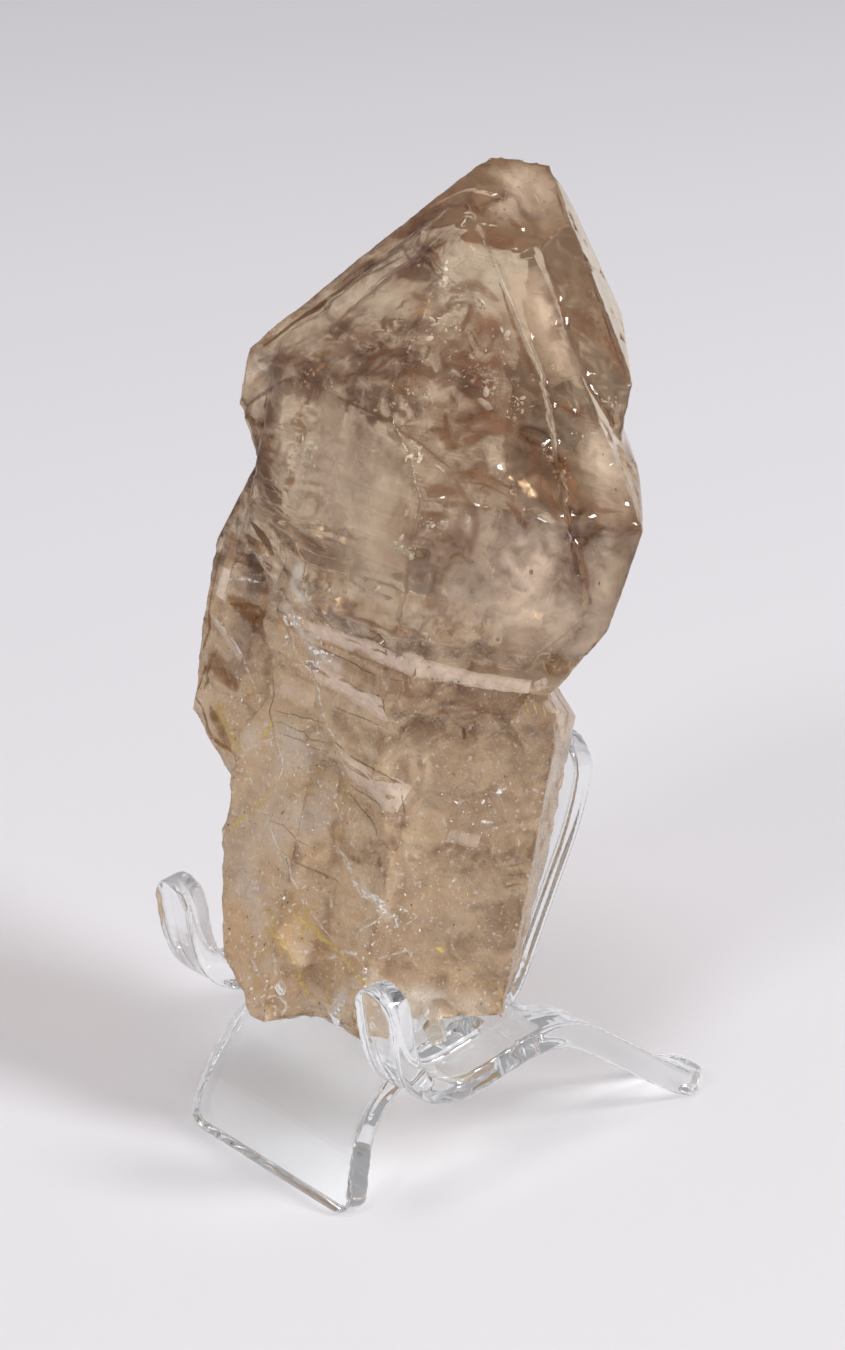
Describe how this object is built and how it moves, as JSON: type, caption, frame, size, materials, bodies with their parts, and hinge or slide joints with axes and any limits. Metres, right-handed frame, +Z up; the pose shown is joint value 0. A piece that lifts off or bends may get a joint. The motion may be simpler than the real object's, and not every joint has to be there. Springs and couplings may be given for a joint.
{
  "type": "smoky quartz crystal on a stand",
  "caption": "Faceted smoky quartz crystal with a pointed head and stepped stem, leaning on a low clear bent-sheet easel that displays it upright.",
  "frame": {"origin": "middle of the bounding box in plan, at the height of the table", "axes": "+Z up, +Y to the back, where the rear legs and the back rest are, -Y to the front, where the two hooks and the front leg are, +X to the right seen from the front"},
  "size_m": [0.0534, 0.053, 0.1101],
  "materials": {
    "smoky_quartz": "see-through smoky brown stone, natural faces with frosted and rust-stained patches",
    "clear_acrylic": "polished, fully clear"
  },
  "bodies": {
    "root": {"crystal": "smoky_quartz", "stand": "clear_acrylic"}
  },
  "joints": []
}
